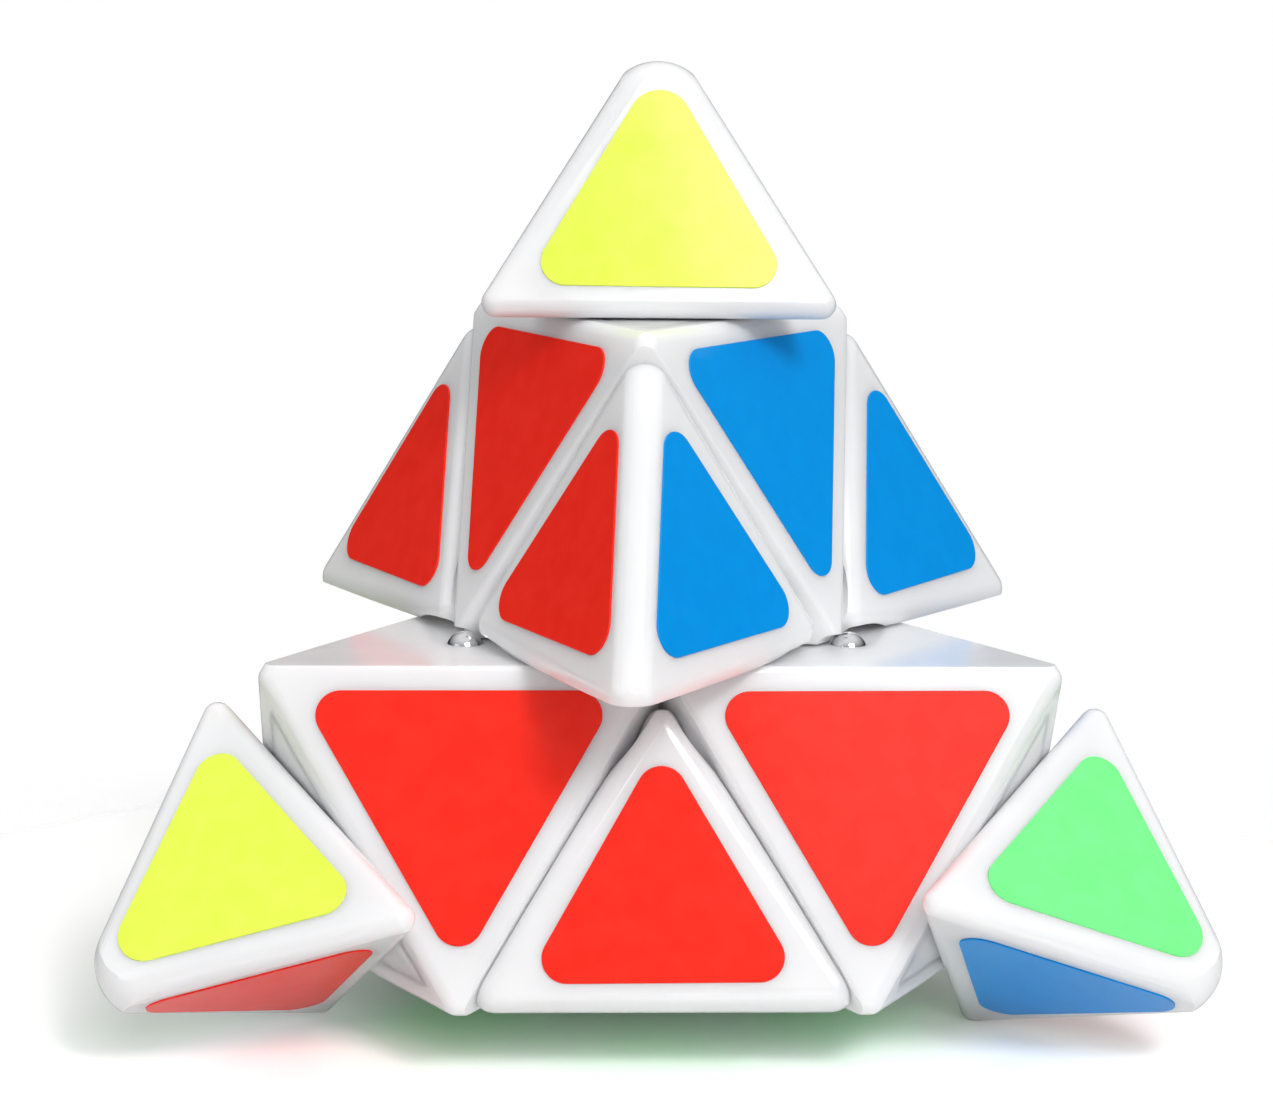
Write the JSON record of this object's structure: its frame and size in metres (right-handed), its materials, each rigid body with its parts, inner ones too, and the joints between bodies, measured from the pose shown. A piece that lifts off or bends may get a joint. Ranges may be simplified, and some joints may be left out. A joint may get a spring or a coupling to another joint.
{
  "type": "pyramid twisty puzzle",
  "caption": "Pyramid-shaped twisty puzzle with rotating corner tips and a turning top layer, coloured face stickers, spring-loaded detent balls and a central core.",
  "frame": {"origin": "centre of the core, where the four turning axes meet", "axes": "+Z along the top layer's axis, through the top corner; -Y out of the red front face; the green face lies underneath"},
  "size_m": [0.0898, 0.0865, 0.0804],
  "materials": {
    "white_shell": "polished white moulded plastic",
    "inner_plastic": "unpainted moulded plastic",
    "fastener_steel": "zinc-plated steel",
    "spring_steel": "drawn spring steel wire",
    "ball_steel": "polished bearing steel",
    "vinyl_red": "red gloss vinyl film",
    "vinyl_blue": "blue gloss vinyl film",
    "vinyl_yellow": "yellow-green fluorescent vinyl film",
    "vinyl_green": "light green vinyl film"
  },
  "bodies": {
    "puzzle_base": {"core": "inner_plastic", "core_screws": "fastener_steel", "core_washers": "fastener_steel", "main_springs": "spring_steel", "axial_body_left": "white_shell", "axial_lid_left": "white_shell", "axial_body_right": "white_shell", "axial_lid_right": "white_shell", "axial_body_back": "white_shell", "axial_lid_back": "white_shell", "edge_shell_left_right": "white_shell", "edge_foot_left_right": "inner_plastic", "edge_shell_right_back": "white_shell", "edge_foot_right_back": "inner_plastic", "edge_shell_back_left": "white_shell", "edge_foot_back_left": "inner_plastic", "lower_stickers_red": "vinyl_red", "lower_stickers_blue": "vinyl_blue", "lower_stickers_yellow": "vinyl_yellow", "lower_stickers_green": "vinyl_green", "top_ball_springs": "spring_steel", "lower_balls": "ball_steel", "lower_ball_springs": "spring_steel"},
    "top_layer": {"axial_body_top": "white_shell", "axial_lid_top": "white_shell", "edge_shell_top_left": "white_shell", "edge_foot_top_left": "inner_plastic", "edge_shell_top_back": "white_shell", "edge_foot_top_back": "inner_plastic", "edge_shell_top_right": "white_shell", "edge_foot_top_right": "inner_plastic", "top_stickers_red": "vinyl_red", "top_stickers_blue": "vinyl_blue", "top_stickers_yellow": "vinyl_yellow", "upper_balls": "ball_steel", "upper_ball_springs": "spring_steel"},
    "tip_top": {"tip_cap_top": "white_shell", "tip_base_top": "white_shell", "tip_sticker_top_blue": "vinyl_blue", "tip_sticker_top_yellow": "vinyl_yellow", "tip_sticker_top_red": "vinyl_red"},
    "tip_left": {"tip_cap_left": "white_shell", "tip_base_left": "white_shell", "tip_sticker_left_green": "vinyl_green", "tip_sticker_left_red": "vinyl_red", "tip_sticker_left_yellow": "vinyl_yellow"},
    "tip_right": {"tip_cap_right": "white_shell", "tip_base_right": "white_shell", "tip_sticker_right_green": "vinyl_green", "tip_sticker_right_blue": "vinyl_blue", "tip_sticker_right_red": "vinyl_red"},
    "tip_back": {"tip_cap_back": "white_shell", "tip_base_back": "white_shell", "tip_sticker_back_green": "vinyl_green", "tip_sticker_back_yellow": "vinyl_yellow", "tip_sticker_back_blue": "vinyl_blue"},
    "ball_left": {"detent_ball_left": "ball_steel"},
    "ball_right": {"detent_ball_right": "ball_steel"},
    "ball_back": {"detent_ball_back": "ball_steel"}
  },
  "joints": [
    {"name": "top_layer_turn", "type": "hinge", "parent": "puzzle_base", "child": "top_layer", "pos_m": [0, 0, 0], "axis": [0, 0, 1], "continuous": true},
    {"name": "tip_top_turn", "type": "hinge", "parent": "top_layer", "child": "tip_top", "pos_m": [0, 0, 0], "axis": [0, 0, 1], "continuous": true},
    {"name": "tip_left_turn", "type": "hinge", "parent": "puzzle_base", "child": "tip_left", "pos_m": [0, 0, 0], "axis": [-0.8165, -0.4714, -0.3333], "continuous": true},
    {"name": "tip_right_turn", "type": "hinge", "parent": "puzzle_base", "child": "tip_right", "pos_m": [0, 0, 0], "axis": [0.8165, -0.4714, -0.3333], "continuous": true},
    {"name": "tip_back_turn", "type": "hinge", "parent": "puzzle_base", "child": "tip_back", "pos_m": [0, 0, 0], "axis": [0, 0.9428, -0.3333], "continuous": true},
    {"name": "ball_left_slide", "type": "slide", "parent": "puzzle_base", "child": "ball_left", "axis": [0, 0, 1], "range_m": [-0.0009, 0], "stiffness_N_per_m": 300, "springref_m": 0.001, "deforming": ["top_ball_springs"]},
    {"name": "ball_right_slide", "type": "slide", "parent": "puzzle_base", "child": "ball_right", "axis": [0, 0, 1], "range_m": [-0.0009, 0], "stiffness_N_per_m": 300, "springref_m": 0.001, "deforming": ["top_ball_springs"]},
    {"name": "ball_back_slide", "type": "slide", "parent": "puzzle_base", "child": "ball_back", "axis": [0, 0, 1], "range_m": [-0.0009, 0], "stiffness_N_per_m": 300, "springref_m": 0.001, "deforming": ["top_ball_springs"]}
  ]
}
